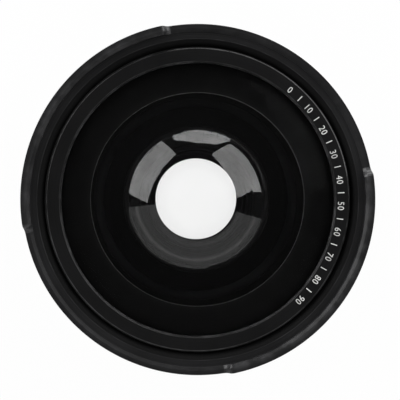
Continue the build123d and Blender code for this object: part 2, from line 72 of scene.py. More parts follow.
class LensDetail(bpy.types.PropertyGroup):
    """Fine sizes that the looks add to the turned parts."""

    columns: IntProperty(
        name="Columns", description="Points round a plain turned part", default=256, min=32
    )
    corner: FloatProperty(
        name="Corner", description="Rounding of every turned edge", default=0.00009, unit="LENGTH"
    )
    thread_pitch: FloatProperty(
        name="Thread pitch", description="Pitch of the filter threads", default=0.00075,
        unit="LENGTH",
    )
    thread_depth: FloatProperty(
        name="Thread depth", description="Depth of the filter threads", default=0.00044,
        unit="LENGTH",
    )
    flute_depth: FloatProperty(
        name="Flute depth", description="Depth of the flutes on the macro ring", default=0.00035,
        unit="LENGTH",
    )
    rib_height: FloatProperty(
        name="Rib height", description="Height of the ribs on the rubber band", default=0.0009,
        unit="LENGTH",
    )
    figure_height: FloatProperty(
        name="Figure height", description="Height of the numbers on the front ring",
        default=0.00176, unit="LENGTH",
    )
    figure_stand: FloatProperty(
        name="Figure stand", description="How far the paint of the figures stands up",
        default=0.00002, unit="LENGTH",
    )


class LensFinish(bpy.types.PropertyGroup):
    """Colours and glass values of the lens."""

    hood: FloatVectorProperty(
        name="Hood", description="Anodised hood", subtype="COLOR", default=(0.0125, 0.0125, 0.013)
    )
    ring: FloatVectorProperty(
        name="Front ring", description="Anodised ring round the glass", subtype="COLOR",
        default=(0.0065, 0.0065, 0.0067),
    )
    barrel: FloatVectorProperty(
        name="Barrel", description="Anodised barrel and macro section", subtype="COLOR",
        default=(0.018, 0.018, 0.0188),
    )
    inside: FloatVectorProperty(
        name="Inside", description="Flat black inside finish", subtype="COLOR",
        default=(0.006, 0.006, 0.0062),
    )
    # Its flat black also fills the hood's throat, where it is painted shade.
    baffle: FloatVectorProperty(
        name="Baffle", description="Flat black of the light baffle and of the hood's throat",
        subtype="COLOR", default=(0.0052, 0.0052, 0.0053),
    )
    rubber: FloatVectorProperty(
        name="Rubber", description="Grip band", subtype="COLOR", default=(0.014, 0.014, 0.0144)
    )
    figures: FloatVectorProperty(
        name="Figures", description="White paint of the figures", subtype="COLOR",
        default=(0.62, 0.62, 0.61),
    )
    front_index: FloatProperty(
        name="Front glass index", description="Refractive index of the front glass", default=1.52
    )
    second_index: FloatProperty(
        name="Second glass index", description="Refractive index of the second glass", default=1.60
    )
    macro_index: FloatProperty(
        name="Macro glass index", description="Refractive index of the macro doublet", default=1.64
    )


class LensStudio(bpy.types.PropertyGroup):
    """Camera and light."""

    distance: FloatProperty(
        name="Camera distance", description="From the low rim to the camera", default=0.45,
        unit="LENGTH",
    )
    focal: FloatProperty(
        name="Focal length", description="In millimetres on a 36 mm sensor", default=153.45
    )
    panel_distance: FloatProperty(
        name="Panel distance", description="From the lens to the light panels", default=1.5,
        unit="LENGTH",
    )
    panel_light: FloatProperty(
        name="Panel light", description="Scale of the three light panels", default=1.0
    )
    card_light: FloatProperty(
        name="Card light", description="Radiance of the pale wall below", default=1.1
    )
    front_light: FloatProperty(
        name="Front light", description="Radiance of the pale room behind the camera", default=0.85
    )
    room_light: FloatProperty(
        name="Room light", description="Radiance of the dark room", default=0.025
    )


# Meshes


def placed(name, data):
    """New object that holds this data, linked to the scene."""
    obj = bpy.data.objects.new(name, data)
    bpy.context.scene.collection.objects.link(obj)
    return obj


def shade(mesh):
    """Shades the mesh smooth between its sharp edges."""
    mesh.shade_smooth()
    mesh.set_sharp_from_angle(angle=SHARP_EDGE)


def new_object(name, points, faces, smooth=True):
    """Object with these points in metres and these faces, its place in its mesh."""
    mesh = bpy.data.meshes.new(name)
    mesh.from_pydata(points, [], faces)
    if smooth:
        shade(mesh)
    return placed(name, mesh)


def evaluated_mesh(obj):
    """New mesh of the object with its modifiers, or its text, worked out."""
    graph = bpy.context.evaluated_depsgraph_get()
    return bpy.data.meshes.new_from_object(obj.evaluated_get(graph))


def points_and_faces(mesh):
    """The mesh's points as rows x, y, z, and its faces as lists of point numbers."""
    points = np.zeros(len(mesh.vertices) * 3)
    mesh.vertices.foreach_get("co", points)
    return points.reshape(-1, 3), [list(face.vertices) for face in mesh.polygons]


def joined(name, parts, smooth=True):
    """One object from several (points, faces) meshes."""
    faces, count = [], 0
    for part_points, part_faces in parts:
        faces += [[v + count for v in face] for face in part_faces]
        count += len(part_points)
    return new_object(name, np.concatenate([points for points, _ in parts]), faces, smooth)


def store(obj, name, values):
    """Keeps one number a point as an attribute that the materials read."""
    layer = obj.data.attributes.new(name, "FLOAT", "POINT")
    layer.data.foreach_set("value", np.asarray(values, np.float32))


def rounded_outline(points):
    """Closed outline with rounded corners, and how near each point is to a corner.

    A corner P becomes (1-t)^2 A + 2t(1-t) P + t^2 B, with A and B on its two sides at the
    corner size from P, or at 0.45 of a shorter side. Points that turn by under 20 degrees
    stay as they are. The second result is sin(pi t) on outward corners and 0 elsewhere.
    """
    size = bpy.context.scene.lens_detail.corner / MM
    steps, most, least_turn = 4, 0.45, math.radians(20)
    p = np.asarray(points, float)
    back, on = np.roll(p, 1, 0) - p, np.roll(p, -1, 0) - p
    back_length = np.linalg.norm(back, axis=1, keepdims=True)
    on_length = np.linalg.norm(on, axis=1, keepdims=True)
    back, on = back / back_length, on / on_length
    cross = on[:, 0] * back[:, 1] - on[:, 1] * back[:, 0]
    turn = math.pi - np.arccos(np.clip((back * on).sum(1), -1, 1))
    area = (p[:, 0] * np.roll(p[:, 1], -1) - p[:, 1] * np.roll(p[:, 0], -1)).sum()
    corner = turn > least_turn
    outward = corner & (cross * area > 0)
    reach = size * corner[:, None]
    a = p + back * np.minimum(reach, most * back_length)
    b = p + on * np.minimum(reach, most * on_length)
    t = np.linspace(0, 1, steps)[None, :, None]
    curve = (1 - t) ** 2 * a[:, None] + 2 * t * (1 - t) * p[:, None] + t**2 * b[:, None]
    edge = np.sin(math.pi * t[:, :, 0]) * outward[:, None]
    keep = corner[:, None] | (np.arange(steps) == 0)[None, :]
    return curve[keep], edge[keep]


def band(inner, outer, low, high):
    """Outline of a plain flat ring."""
    return [(inner, low), (outer, low), (outer, high), (inner, high)]


def ball(radius, height, end, count):
    """Arc of a lens face: height minus radius plus root(radius^2 - r^2), r from 0 to end.

    A negative radius gives a hollow face. The points are even in angle.
    """
    size = abs(radius)
    angle = np.linspace(0, math.asin(end / size), count)
    fall = size * (1 - np.cos(angle)) * math.copysign(1, radius)
    return np.stack([size * np.sin(angle), height - fall], 1)


def bezier(points, count):
    """Cubic curve (1-t)^3 P0 + 3t(1-t)^2 P1 + 3t^2(1-t) P2 + t^3 P3."""
    p = np.asarray(points, float)
    t = np.linspace(0, 1, count)[:, None]
    s = 1 - t
    return s**3 * p[0] + 3 * s**2 * t * p[1] + 3 * s * t**2 * p[2] + t**3 * p[3]


def arc_through(start, middle, end, count):
    """Circular arc through three points, even in angle."""
    (ax, ay), (bx, by), (cx, cy) = start, middle, end
    d = 2 * (ax * (by - cy) + bx * (cy - ay) + cx * (ay - by))
    sa, sb, sc = ax * ax + ay * ay, bx * bx + by * by, cx * cx + cy * cy
    centre = np.array([
        (sa * (by - cy) + sb * (cy - ay) + sc * (ay - by)) / d,
        (sa * (cx - bx) + sb * (ax - cx) + sc * (bx - ax)) / d,
    ])
    first = math.atan2(ay - centre[1], ax - centre[0])
    last = math.atan2(cy - centre[1], cx - centre[0])
    last += TURN * round((first - last) / TURN)
    angle = np.linspace(first, last, count)
    size = math.hypot(ax - centre[0], ay - centre[1])
    return centre + size * np.stack([np.cos(angle), np.sin(angle)], 1)


def full_turn(count):
    """This many even angles round the axis, as one row."""
    return np.linspace(0, TURN, count, endpoint=False)[None, :]


def repeated(local, count):
    """These angles again in each of the equal sectors of a turn, as one row."""
    return (local[None, :] + TURN / count * np.arange(count)[:, None]).reshape(1, -1)


def run_out(low, high, steps):
    """Rows that crowd at both ends, and the share of full height that each has reached.

    The share is a quarter circle, root(1 - (1 - d/e)^2), at the distance d from an end, and
    e is the last of the steps.
    """
    rows = np.concatenate([low + steps, high - steps[::-1]])
    share = np.concatenate([steps, steps[::-1]]) / steps[-1]
    return rows, np.sqrt(1 - (1 - share) ** 2)


def turned_grid(name, radius, height, angle, edge=None, closed=True, row_material=None):
    """Turned surface through the points (r cos a, r sin a, z), r and z given row by row.

    Radius and height are arrays of rows by columns in millimetres and angle has one value
    a column, or one a point. Columns close on themselves. Rows do too when closed is true,
    and otherwise the first and last rows are poles, one point each. Faces look outwards:
    they are turned round where the enclosed volume, the sum of p0 . (p1 x p2) / 6 over
    the triangles, comes out negative. Edge says how much each row, or each point, is worn,
    and also, on the hood's bevel and ramps and the front ring's bevels, how strong a painted
    highlight is there; row_material says which material the faces after each row have.
    """
    radius, height, angle = np.broadcast_arrays(radius, height, angle)
    points = np.stack([radius * np.cos(angle), radius * np.sin(angle), height], -1)
    rows, columns = radius.shape
    index = np.arange(rows * columns).reshape(rows, columns)
    upper = index if closed else index[1:-2]
    lower = np.roll(index, -1, 0) if closed else index[2:-1]
    quads = np.stack([upper, np.roll(upper, -1, 1), np.roll(lower, -1, 1), lower], -1)
    face_rows = np.repeat(np.arange(len(upper)) + (0 if closed else 1), columns)
    quads = quads.reshape(-1, 4)
    flat = points.reshape(-1, 3)
    q = flat[quads]
    volume = (q[:, 0] * np.cross(q[:, 1], q[:, 2])).sum()
    volume += (q[:, 0] * np.cross(q[:, 2], q[:, 3])).sum()
    caps = np.zeros((0, 3), int)
    if not closed:
        first, last = index[1], index[-2]
        caps = np.concatenate([
            np.stack([np.full(columns, index[0, 0]), np.roll(first, -1), first], -1),
            np.stack([last, np.roll(last, -1), np.full(columns, index[-1, 0])], -1),
        ])
        face_rows = np.concatenate([face_rows, np.zeros(columns, int), np.full(columns, rows - 2)])
    if volume < 0:
        quads, caps = quads[:, ::-1], caps[:, ::-1]
    used, place = np.unique(np.concatenate([quads.ravel(), caps.ravel()]), return_inverse=True)
    quads = place[: quads.size].reshape(-1, 4)
    caps = place[quads.size :].reshape(-1, 3)
    obj = new_object(name, flat[used] * MM, quads.tolist() + caps.tolist())
    if edge is not None:
        edge = np.broadcast_to(np.reshape(edge, (rows, -1)), (rows, columns))
        store(obj, "edge", edge.ravel()[used])
    if row_material is not None:
        obj.data.polygons.foreach_set("material_index", np.asarray(row_material)[face_rows])
    return obj


def turned(name, points, columns=None, polished=()):
    """A plain turned ring: its outline, with rounded corners, carried round the axis.

    Each polished (least radius, most radius, least height) marks the rows there as edge,
    which the front ring's finish makes smoother, coated and paler, the paler tone a painted
    highlight.
    """
    outline, edge = rounded_outline(points)
    for least, most, low in polished:
        there = (outline[:, 0] > least) & (outline[:, 0] < most) & (outline[:, 1] > low)
        edge = np.where(there, 1.0, edge)
    angle = full_turn(columns or bpy.context.scene.lens_detail.columns)
    return turned_grid(name, outline[:, :1], outline[:, 1:], angle, edge)


def slotted(name, points, face_height, depth, inner):
    """A turned ring with two spanner slots: the points of one face that lie outside the
    inner radius are sunk by the depth wherever the angle is within half the slot's width.
    """
    slots, width, flank = 2, 1.8, 0.0006
    outline, edge = rounded_outline(points)
    half = width / (2 * outline[:, 0].max())
    near = np.array([-half - flank, -half + flank, 0, half - flank, half + flank])
    columns = bpy.context.scene.lens_detail.columns // slots
    rest = np.linspace(half + flank, TURN / slots - half - flank, columns)[1:-1]
    sunk = np.tile(np.concatenate([[0, 1, 1, 1, 0], np.zeros(len(rest))]), slots)
    angle = repeated(np.concatenate([near, rest]), slots)
    on_face = (np.abs(outline[:, 1] - face_height) < abs(depth) / 4) & (outline[:, 0] > inner)
    height = outline[:, 1:] + depth * on_face[:, None] * sunk[None, :]
    return turned_grid(name, outline[:, :1], height, angle, edge)


def drilled(obj, height, near, far):
    """Cuts the holes of the three grub screws, each along a spoke from near to far."""
    cutter = bmesh.new()
    middle = Matrix.Translation(((near + far) / 2 * MM, 0, height * MM))
    lay = Matrix.Rotation(math.pi / 2, 4, "Y")
    for degrees in SCREW_ANGLES:
        bmesh.ops.create_cone(
            cutter, cap_ends=True, segments=40, radius1=SCREW_HOLE * MM, radius2=SCREW_HOLE * MM,
            depth=(far - near) * MM,
            matrix=Matrix.Rotation(math.radians(degrees), 4, "Z") @ middle @ lay,
        )
    mesh = bpy.data.meshes.new("cutter")
    cutter.to_mesh(mesh)
    cutter.free()
    tool = placed("cutter", mesh)
    cut = obj.modifiers.new("holes", "BOOLEAN")
    cut.operation, cut.solver, cut.object = "DIFFERENCE", "EXACT", tool
    made, old = evaluated_mesh(obj), obj.data
    made.name = obj.name
    obj.modifiers.clear()
    obj.data = made
    shade(made)
    bpy.data.meshes.remove(old)
    bpy.data.objects.remove(tool)
    bpy.data.meshes.remove(mesh)


def thread(height, angle, outer):
    """Radius of a right-hand male thread: outer minus depth times a trapezium wave of
    height / pitch - angle / turn, flat on its crest and in its root."""
    detail = bpy.context.scene.lens_detail
    crest, flank = 0.14, 0.6
    phase = height * MM / detail.thread_pitch - angle / TURN
    wave = np.abs(2 * (phase - np.floor(phase)) - 1)
    return outer - detail.thread_depth / MM * np.clip((wave - crest) / flank, 0, 1)


def seat(obj, node, *materials):
    """Puts the piece on the node's body in the node's stead, with its materials."""
    for material in materials:
        obj.data.materials.append(material)
    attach(obj, BODY_OF[node])
    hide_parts(node)


# Materials


def connect(tree, node, links):
    """Gives each (socket, source) pair's socket a link where the source is a socket, and
    otherwise the source as its own value."""
    for socket, source in links:
        if isinstance(source, bpy.types.NodeSocket):
            tree.links.new(source, node.inputs[socket])
        else:
            node.inputs[socket].default_value = source


def add_node(tree, kind, links=(), **values):
    """Node of this kind with these settings, each link a (socket, source) pair."""
    node = tree.nodes.new(kind)
    for key, value in values.items():
        setattr(node, key, value)
    connect(tree, node, links)
    return node


def maths(tree, operation, *values, clamp=False):
    """Result of this operation on these values or sockets, worked from the left. Clamp
    holds the last result between 0 and 1."""
    first, *rest = values
    while len(rest) > 1:
        first = maths(tree, operation, first, rest.pop(0))
    node = add_node(
        tree, "ShaderNodeMath", enumerate([first, *rest]), operation=operation, use_clamp=clamp
    )
    return node.outputs[0]


def plus(tree, *values, clamp=False):
    """Sum of these values or sockets."""
    return maths(tree, "ADD", *values, clamp=clamp)


def times(tree, *values, clamp=False):
    """Product of these values or sockets."""
    return maths(tree, "MULTIPLY", *values, clamp=clamp)


def swing(tree, value, reach):
    """How far the value is from a half, times the reach."""
    return times(tree, maths(tree, "SUBTRACT", value, 0.5), reach)


def spread(tree, value, least, most, low=0.3, high=0.7, **kind):
    """The value carried from the range low to high to the range least to most."""
    return add_node(tree, "ShaderNodeMapRange", [
        ("Value", value), ("From Min", low), ("From Max", high),
        ("To Min", least), ("To Max", most)], **kind).outputs[0]


def object_place(tree):
    """Object coordinates."""
    return add_node(tree, "ShaderNodeTexCoord").outputs["Object"]


def attribute(tree, name):
    """The points' own number of this name."""
    return add_node(tree, "ShaderNodeAttribute", attribute_name=name).outputs["Fac"]


def noise(tree, place, scale, detail):
    """Noise at this place, about a half, with this many cells a metre."""
    return add_node(tree, "ShaderNodeTexNoise", [
        ("Vector", place), ("Scale", scale), ("Detail", detail)]).outputs[0]


def dyed(tree, colour, strength):
    """The colour times its strength."""
    return add_node(tree, "ShaderNodeVectorMath", [(0, colour), (3, strength)],
                    operation="SCALE").outputs[0]


def covered(tree, share, under, over):
    """The colour under with this share of the colour over."""
    return add_node(tree, "ShaderNodeMix", [(0, share), (6, under), (7, over)],
                    data_type="RGBA").outputs[2]


def relief(tree, height, distance):
    """Normal of a surface with this height, at a full height of the distance in metres."""
    return add_node(tree, "ShaderNodeBump", [
        ("Height", height), ("Strength", 1.0), ("Distance", distance)]).outputs[0]


def new_group(name, outputs, **inputs):
    """Shader node group with these outputs, and these inputs at their defaults. A socket
    called Colour holds a colour, and any other a number."""
    group = bpy.data.node_groups.new(name, "ShaderNodeTree")

    def add_socket(label, way):
        """Socket of this label on the way in or out."""
        kind = "NodeSocketColor" if label == "Colour" else "NodeSocketFloat"
        return group.interface.new_socket(label, in_out=way, socket_type=kind)

    for label, default in inputs.items():
        add_socket(label, "INPUT").default_value = default
    for label in outputs:
        add_socket(label, "OUTPUT")
    return group, group.nodes.new("NodeGroupInput").outputs, group.nodes.new("NodeGroupOutput")


def turned_metal_group():
    """Anodised metal: tool rings round the axis, a fine blasted grain, faint blotches, paler
    edges where the dye has rubbed off, and a smooth coat on them where they have polish. On
    the hood's bevel and ramps and on the front ring's bevels the paler tone is a painted
    highlight as well."""
    group, given, result = new_group(
        "turned_metal", ("Colour", "Roughness", "Height", "Coat"), Colour=(0.02, 0.02, 0.02, 1),
        Roughness=0.4, Rings=0.5, Grain=0.5, Wear=0.3, Polish=0.0,
    )
    # Grey of metal where the dye has rubbed off, and of the painted highlights.
    wear_and_highlight_grey = (0.16, 0.16, 0.165, 1)
    place = object_place(group)
    x, y, z = add_node(group, "ShaderNodeSeparateXYZ", [(0, place)]).outputs
    out = maths(group, "SQRT", plus(group, times(group, x, x), times(group, y, y)))
    section = add_node(group, "ShaderNodeCombineXYZ", [(0, out), (1, z)]).outputs[0]
    rings = noise(group, section, 3600.0, 3.0)
    grain = noise(group, place, 9000.0, 2.0)
    blotch = noise(group, place, 90.0, 5.0)
    edge = attribute(group, "edge")
    rubbed = spread(group, noise(group, place, 260.0, 4.0), 0.0, 1.0, 0.42, 0.62)
    # Share of that grey by the edge attribute: real wear, and painted highlight on the hood's bevel
    # and ramps and the front ring's bevels.
    worn = times(group, edge, rubbed, given["Wear"], clamp=True)
    strength = times(group, spread(group, blotch, 0.82, 1.2), spread(group, rings, 0.72, 1.28))
    rough = plus(group, given["Roughness"], swing(group, rings, 0.22),
                 swing(group, blotch, 0.2), clamp=True)
    rubbed_smooth = maths(group, "SUBTRACT", 1.0, times(group, edge, 0.7))
    connect(group, result, [
        ("Colour", covered(group, worn, dyed(group, given["Colour"], strength), wear_and_highlight_grey)),
        ("Roughness", times(group, rough, rubbed_smooth)),
        ("Height", plus(group, times(group, rings, given["Rings"]),
                        times(group, grain, given["Grain"]))),
        ("Coat", times(group, edge, given["Polish"]))])
    return group


def soft_black_group():
    """Rubber, fibre and paint: a fine grain, broad mottling and pale dust in the grain."""
    group, given, result = new_group(
        "soft_black", ("Colour", "Roughness", "Height"), Colour=(0.02, 0.02, 0.02, 1),
        Roughness=0.8, Scale=4000.0, Dust=0.1,
    )
    dust = (0.3, 0.3, 0.3, 1)
    place = object_place(group)
    grain = noise(group, place, given["Scale"], 3.0)
    mottle = noise(group, place, 150.0, 4.0)
    specks = add_node(group, "ShaderNodeTexVoronoi", [("Vector", place), ("Scale", 700.0)],
                      feature="F1").outputs["Distance"]
    spot = maths(group, "LESS_THAN", specks, 0.07)
    dusty = times(group, spot, mottle, given["Dust"], clamp=True)
    strength = spread(group, mottle, 0.75, 1.3)
    connect(group, result, [
        ("Colour", covered(group, dusty, dyed(group, given["Colour"], strength), dust)),
        ("Roughness", plus(group, given["Roughness"], swing(group, grain, 0.25), clamp=True)),
        ("Height", grain)])
    return group


GROUP_MAKERS = {"turned_metal": turned_metal_group, "soft_black": soft_black_group}


def new_material(name):
    """Material with nodes, its tree and its Principled shader."""
    material = bpy.data.materials.new(name)
    material.use_nodes = True
    tree = material.node_tree
    return material, tree, tree.nodes["Principled BSDF"]


def finish_from(name, group_name, colour, bump, metallic=0.0, specular=0.5, **values):
    """Material called NAME_surface from a shared effect group, bump being the height of its
    relief in metres. The imported model already holds materials called after the slots, so
    these have names of their own."""
    title = name + "_surface"
    if title in bpy.data.materials:
        return bpy.data.materials[title]
    group = bpy.data.node_groups.get(group_name) or GROUP_MAKERS[group_name]()
    material, tree, shader = new_material(title)
    effect = add_node(tree, "ShaderNodeGroup", [("Colour", (*colour, 1)), *values.items()],
                      node_tree=group).outputs
    connect(tree, shader, [
        ("Base Color", effect["Colour"]), ("Roughness", effect["Roughness"]),
        ("Normal", relief(tree, effect["Height"], bump)), ("Metallic", metallic),
        ("Specular IOR Level", specular)])
    if effect.get("Coat"):
        connect(tree, shader, [("Coat Weight", effect["Coat"]), ("Coat Roughness", 0.25)])
    return material


def finishes():
    """Every opaque finish of the lens by name."""
    colour = bpy.context.scene.lens_finish
    metal, soft = "turned_metal", "soft_black"
    return {
        "hood": finish_from("hood", metal, colour.hood, 4e-6, specular=0.06, Roughness=0.45,
                            Rings=0.35, Grain=0.6, Wear=0.32, Polish=0.5),
        "ring": finish_from("ring", metal, colour.ring, 4e-6, specular=0.07, Roughness=0.7,
                            Rings=0.3, Grain=1.2, Wear=0.22, Polish=0.9),
        "barrel": finish_from("barrel", metal, colour.barrel, 5e-6, Roughness=0.38, Rings=0.7,
                              Grain=0.4, Wear=0.35),
        "inside": finish_from("inside", metal, colour.inside, 6e-6, specular=0.05,
                              Roughness=0.9, Rings=0.3, Grain=1.0, Wear=0.0),
        # Flat black of the spacer's baffle, and painted shade in the hood's cove.
        "baffle": finish_from("baffle", metal, colour.baffle, 4e-6, specular=0.1,
                              Roughness=0.9, Rings=0.2, Grain=1.0, Wear=0.0),
        "rubber": finish_from("rubber", soft, colour.rubber, 2.5e-5, specular=0.4,
                              Roughness=0.72, Scale=5200.0, Dust=0.25),
        "seal": finish_from("seal", soft, (0.012, 0.012, 0.012), 1e-5, specular=0.3,
                            Roughness=0.8, Scale=3500.0, Dust=0.05),
        "fibre": finish_from("fibre", soft, (0.04, 0.04, 0.042), 3e-5, specular=0.3,
                             Roughness=0.85, Scale=2200.0, Dust=0.1),
        "figure": finish_from("figure", soft, colour.figures, 4e-6, Roughness=0.55,
                              Scale=6000.0, Dust=0.0),
        "brass": finish_from("brass", metal, (0.55, 0.42, 0.18), 3e-6, metallic=1.0,
                             Roughness=0.32, Rings=0.8, Grain=0.2, Wear=0.1),
        "steel": finish_from("steel", metal, (0.05, 0.05, 0.055), 2e-6, metallic=1.0,
                             Roughness=0.35, Rings=0.2, Grain=0.5, Wear=0.4),
    }


def glass(name, index, coat, haze=0.0):
    """Clear polished glass with a coating that lets this share of each mirror image stay.

    Noise on Object coordinates takes a little off its clearness here and there, and haze
    is the share of light that a film of dust on its face scatters.
    """
    material, tree, shader = new_material(name)
    veil = spread(tree, noise(tree, object_place(tree), 45.0, 3.0), 0.99, 0.97, 0.35, 0.75)
    connect(tree, shader, [
        ("Base Color", veil), ("Roughness", 0.0), ("Transmission Weight", 1.0 - haze),
        ("IOR", index), ("Specular Tint", (*coat, 1))])
    return material


def edge_paint():
    """Matt black paint on the ground edges of the glass, mottled by noise on Object
    coordinates, and paler towards the hollow by a point attribute that rises to 1 there:
    a painted glow of light near the hollow."""
    material, tree, shader = new_material("edge_paint")
    mottle = noise(tree, object_place(tree), 240.0, 4.0)
    tone = plus(tree, spread(tree, mottle, 0.0015, 0.004),
                times(tree, attribute(tree, "painted_glow"), 0.005))
    connect(tree, shader, [
        ("Base Color", tone), ("Roughness", 0.9), ("Specular IOR Level", 0.1),
        ("Normal", relief(tree, mottle, 4e-6))])
    return material


def ground_strip_highlight():
    """Ground strip at the rim of the hollow: rough, with a ground grain, and pale, its pale tone a
    painted highlight along that rim.
    """
    material, tree, shader = new_material("ground_strip_highlight")
    tone = spread(tree, noise(tree, object_place(tree), 1500.0, 3.0), 0.12, 0.24)
    connect(tree, shader, [("Base Color", tone), ("Roughness", 0.7)])
    return material


# Outlines and sizes in millimetres, and angles in degrees

RING_BORE, RING_RIM, RING_TOP = 36.2, 40.3, 44.95
NAME_RING = [
    (RING_BORE, 42.66), (RING_BORE, 44.5), (36.65, RING_TOP), (39.95, RING_TOP), (RING_RIM, 44.7),
    (RING_RIM, 41.2), (39.95, 41.2), (39.95, 39.6), (38.3, 39.6), (38.3, 41.68),
]
# The ring's polished bevels, paler as a painted highlight: least and most radius, and least height
RING_BEVELS = ((39.9, 40.05, 44.8), (36.1, 36.3, 44.35))
NECK, DRUM, GRIP_FLOOR = 33.2, 45.6, 43.0
BARREL_END, CELL_SEAT, GLASS_LEDGE = 14.6, 20.5, 30.2
BARREL_REAR = [(28.55, BARREL_END), (32.8, BARREL_END), (NECK, 15.0)]
BARREL_FLARE = [(NECK, 17.5), (NECK, 22.5), (45.0, 23.6), (45.0, 28.6)]
BARREL_FRONT = [
    (DRUM, 29.2), (DRUM, 30.4), (GRIP_FLOOR, 30.4), (GRIP_FLOOR, 37.4), (DRUM, 37.4), (DRUM, 38.4),
    (43.2, 38.4), (43.2, 40.6), (42.8, 41.0), (40.0, 41.0), (40.0, 39.4), (38.1, 39.4),
    (38.1, GLASS_LEDGE), (31.1, GLASS_LEDGE), (31.1, CELL_SEAT), (27.5, CELL_SEAT),
    (27.5, 19.2), (28.55, 19.2),
]
SPACER_TOP, SEAL_TOP = 34.85, 35.25
SHIM_TOP, CELL_BORE, STOP_LOW, STOP_TOP = 20.8, 20.6, 27.4, 27.7
MACRO_BORE, CROWN_SEAL_LOW, CROWN_SEAL_TOP = 25.0, 12.56, 12.86
PLAIN_RINGS = {
    "coupling_gasket": ("fibre", band(28.65, 31.6, 14.0, BARREL_END)),
    "cell_shim": ("brass", band(27.5, 31.0, CELL_SEAT, SHIM_TOP)),
    "flare_stop": ("inside", band(16.9, 20.55, STOP_LOW, STOP_TOP)),
    "front_element_seal": ("seal", band(35.5, 37.9, SPACER_TOP, SEAL_TOP)),
    "macro_element_seal": ("seal", band(24.0, MACRO_BORE, CROWN_SEAL_LOW, CROWN_SEAL_TOP)),
    "element_spacer": ("baffle", [
        (38.05, GLASS_LEDGE), (38.05, SPACER_TOP), (28.6, SPACER_TOP), (29.7, 33.69),
        (29.1, 33.69), (30.2, 32.53), (29.6, 32.53), (30.7, 31.36), (30.1, 31.36),
        (31.2, GLASS_LEDGE),
    ]),
    "second_element_cell": ("inside", [
        (17.2, 18.31), (22.1, 18.31), (22.5, 18.71), (22.5, SHIM_TOP), (31.0, SHIM_TOP),
        (31.0, 23.0), (22.5, 23.0), (22.5, 29.0), (22.1, 29.4), (CELL_BORE, 29.4),
        (CELL_BORE, STOP_LOW), (19.1, STOP_LOW), (19.1, 19.11), (17.2, 19.11),
    ]),
}
SECOND_RETAINER = [(17.5, STOP_TOP), (20.55, STOP_TOP), (20.55, 29.3), (17.9, 29.3)]
MACRO_RETAINER = [
    (19.8, 5.21), (19.8, 4.21), (22.0, 3.01), (26.15, 3.01), (26.15, 6.01), (24.0, 6.01),
]
HOOD_INNER, COVE_LOW, COVE_TOP, HOOD_TOP, HOOD_OUTER = 40.75, 41.1, 45.2, 46.0, 46.4
HOOD_LOW = [(43.25, COVE_LOW), (HOOD_INNER, COVE_LOW)]
# Start, middle and end of the hood's hollow arc
HOOD_COVE = ((HOOD_INNER, 42.2), (41.178, 43.983), (42.55, COVE_TOP))
HOOD_RIM = [
    (44.3, COVE_TOP), (44.3, 45.4), (45.2, HOOD_TOP), (HOOD_OUTER, HOOD_TOP), (46.29, 45.5),
    (46.29, 38.8), (45.89, 38.4), (43.25, 38.4),
]
RIM_MIDDLE = 45.4
PETAL_SPANS = ((100.1, 190.2), (279.5, 369.9))
PETAL_RISE, PETAL_LEAN, STEP_RUN, ROOT_RADIUS, TIP_RADIUS = 1.6, 0.35, 1.1, 2.0, 1.4
SCREW_ANGLES = (25.0, 145.0, 265.0)
SCREW_HOLE, SCREW_LENGTH, HOOD_SCREWS, CELL_SCREWS = 1.05, 2.6, 39.7, 21.9


# Pieces


def petal_path(columns):
    """The rim's top edge as arrays: angle, rise, and the inward normal (round, up).

    In the plane (distance round, rise) a step is an arc, a straight ramp and an arc back to
    level. The ramp's line runs from (0, 0) to (run, height) at the slope s. The root arc, of
    radius r, has its centre at (-r tan(s/2), r) and the tip arc, of radius t, at
    (run + t tan(s/2), height - t), and both turn by s. A petal's end is its start mirrored,
    and level runs join the steps.
    """
    slope = math.atan2(PETAL_RISE, STEP_RUN)
    half = math.tan(slope / 2)
    f = np.linspace(0, slope, 9)
    g = f[::-1]
    round_ = np.concatenate([
        ROOT_RADIUS * (np.sin(f) - half), STEP_RUN + TIP_RADIUS * (half - np.sin(g)),
    ])
    rise = np.concatenate([
        ROOT_RADIUS * (1 - np.cos(f)), PETAL_RISE - TIP_RADIUS * (1 - np.cos(g)),
    ])
    normal_round = np.concatenate([np.sin(f), np.sin(g)])
    normal_up = -np.concatenate([np.cos(f), np.cos(g)])

    def level(start, end, height):
        """The rim between two steps, at this rise."""
        run = np.linspace(start, end, columns // 4)[1:-1]
        return np.stack([run, np.full_like(run, height), 0 * run, np.full_like(run, -1)])

    parts = []
    for k, (start, end) in enumerate(PETAL_SPANS):
        following = PETAL_SPANS[(k + 1) % len(PETAL_SPANS)][0] + 360 * (k == len(PETAL_SPANS) - 1)
        begin, end, following = np.radians([start, end, following])
        up = np.stack([begin + round_ / RIM_MIDDLE, rise, normal_round, normal_up])
        down = np.stack([end - round_ / RIM_MIDDLE, rise, -normal_round, normal_up])[:, ::-1]
        parts += [up, level(up[0, -1], down[0, 0], PETAL_RISE)]
        parts += [down, level(down[0, -1], following + round_[0] / RIM_MIDDLE, 0)]
    return np.concatenate(parts, 1)


